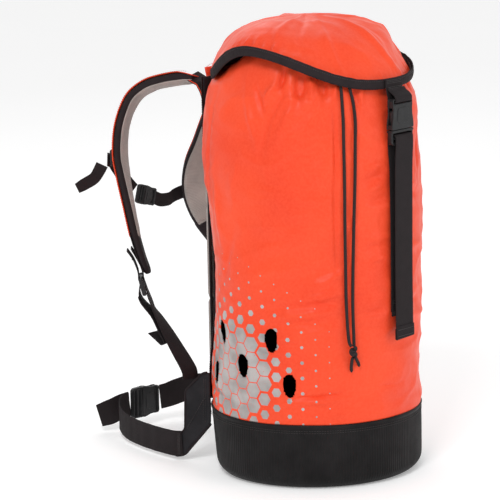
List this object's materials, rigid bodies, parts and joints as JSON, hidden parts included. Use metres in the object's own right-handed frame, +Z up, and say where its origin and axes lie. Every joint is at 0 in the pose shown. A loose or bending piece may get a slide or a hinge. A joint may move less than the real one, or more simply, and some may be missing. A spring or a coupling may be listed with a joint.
{
  "type": "rope storage bag",
  "caption": "Round rope storage backpack with hinged lid and side release buckle, cord-closed throat, ribbed base, drain holes, padded shoulder straps, chest strap and hip belt.",
  "frame": {"origin": "centre of the flat underside of the base, on the floor", "axes": "+Z up through the mouth, -Y to the front with the lid strap, +Y to the back with the harness, -X to the wearer's left"},
  "size_m": [0.3084, 0.5538, 0.649],
  "materials": {
    "tarpaulin_orange": "semi-matt coated tarpaulin",
    "base_fabric_black": "heavy coated fabric",
    "mesh_grey": "mesh over foam",
    "cord_black": "braided cord",
    "plastic_black": "moulded acetal",
    "steel": "plated",
    "webbing_black": "woven webbing"
  },
  "bodies": {
    "bag": {"side_panel": "tarpaulin_orange", "back_panel": "base_fabric_black", "back_pad": "mesh_grey", "base_band": "base_fabric_black", "base_disc": "base_fabric_black", "collar": "tarpaulin_orange", "mouth_hem": "webbing_black", "hem_eyelets": "steel", "drawcord_ring": "cord_black", "drawcord_left": "cord_black", "drawcord_right": "cord_black", "drawcord_knot": "cord_black", "cord_lock_body": "plastic_black", "cord_lock_spring": "steel", "rope_tie_loop": "webbing_black", "hinge_strip": "tarpaulin_orange", "lid_strap": "webbing_black", "strap_anchor": "webbing_black", "haul_loop": "webbing_black", "shoulder_tab_left": "webbing_black", "shoulder_tab_right": "webbing_black", "lower_webbing_left": "webbing_black", "lower_webbing_right": "webbing_black", "hip_wing_left": "base_fabric_black", "hip_wing_right": "base_fabric_black", "hip_belt_left": "webbing_black", "hip_belt_right": "webbing_black", "hip_socket": "plastic_black"},
    "lid": {"lid_shell": "tarpaulin_orange", "lid_binding": "webbing_black", "lid_tab": "webbing_black", "lid_socket": "plastic_black"},
    "lid_plug": {"lid_plug": "plastic_black", "lid_strap_tail": "webbing_black"},
    "cord_lock_plunger": {"cord_lock_plunger": "plastic_black"},
    "shoulder_left": {"shoulder_pad_left": "mesh_grey", "shoulder_cover_left": "tarpaulin_orange", "adjuster_loop_left": "webbing_black"},
    "shoulder_right": {"shoulder_pad_right": "mesh_grey", "shoulder_cover_right": "tarpaulin_orange", "adjuster_loop_right": "webbing_black"},
    "adjuster_left": {"adjuster_left": "plastic_black"},
    "adjuster_right": {"adjuster_right": "plastic_black"},
    "chest_left": {"chest_slider_left": "plastic_black", "chest_strap_left": "webbing_black", "chest_strap_tail": "webbing_black"},
    "chest_right": {"chest_slider_right": "plastic_black", "chest_strap_right": "webbing_black", "chest_socket": "plastic_black"},
    "chest_plug": {"chest_plug": "plastic_black"},
    "hip_plug": {"hip_plug": "plastic_black", "hip_belt_tail": "webbing_black"}
  },
  "joints": [
    {"name": "lid_hinge", "type": "hinge", "parent": "bag", "child": "lid", "pos_m": [0, 0.1452, 0.566], "axis": [-1, 0, 0], "range_deg": [0, 100]},
    {"name": "lid_plug_release", "type": "slide", "parent": "bag", "child": "lid_plug", "axis": [0, 0, -1], "range_m": [0, 0.032], "deforming": ["lid_strap"]},
    {"name": "cord_lock_press", "type": "slide", "parent": "bag", "child": "cord_lock_plunger", "axis": [-0.8704, 0.4924, 0], "range_m": [0, 0.004], "stiffness_N_per_m": 600, "springref_m": -0.004, "deforming": ["cord_lock_spring"]},
    {"name": "shoulder_swing_left", "type": "hinge", "parent": "bag", "child": "shoulder_left", "pos_m": [-0.056, 0.16, 0.551], "axis": [1, 0, 0], "range_deg": [-8, 12], "deforming": ["lower_webbing_left"]},
    {"name": "shoulder_swing_right", "type": "hinge", "parent": "bag", "child": "shoulder_right", "pos_m": [0.056, 0.16, 0.551], "axis": [1, 0, 0], "range_deg": [-8, 12], "deforming": ["lower_webbing_right"]},
    {"name": "adjuster_tilt_left", "type": "hinge", "parent": "shoulder_left", "child": "adjuster_left", "pos_m": [-0.087, 0.255, 0.257], "axis": [0.7431, 0.6691, 0], "range_deg": [-20, 20]},
    {"name": "adjuster_tilt_right", "type": "hinge", "parent": "shoulder_right", "child": "adjuster_right", "pos_m": [0.087, 0.249, 0.238], "axis": [0.7431, -0.6691, 0], "range_deg": [-20, 20]},
    {"name": "chest_height_left", "type": "slide", "parent": "shoulder_left", "child": "chest_left", "axis": [0, 0, 1], "range_m": [-0.02, 0.02]},
    {"name": "chest_height_right", "type": "slide", "parent": "shoulder_right", "child": "chest_right", "axis": [0, 0, 1], "range_m": [-0.02, 0.02]},
    {"name": "chest_plug_release", "type": "slide", "parent": "chest_left", "child": "chest_plug", "axis": [-0.9563, 0, 0.2924], "range_m": [0, 0.02], "deforming": ["chest_strap_left"]},
    {"name": "hip_plug_release", "type": "slide", "parent": "bag", "child": "hip_plug", "axis": [-0.9976, 0.0698, 0], "range_m": [0, 0.028], "deforming": ["hip_belt_left"]}
  ],
  "couplings": [
    {"joint": "shoulder_swing_right", "follows": "shoulder_swing_left", "ratio": 1},
    {"joint": "chest_height_right", "follows": "chest_height_left", "ratio": 1}
  ]
}
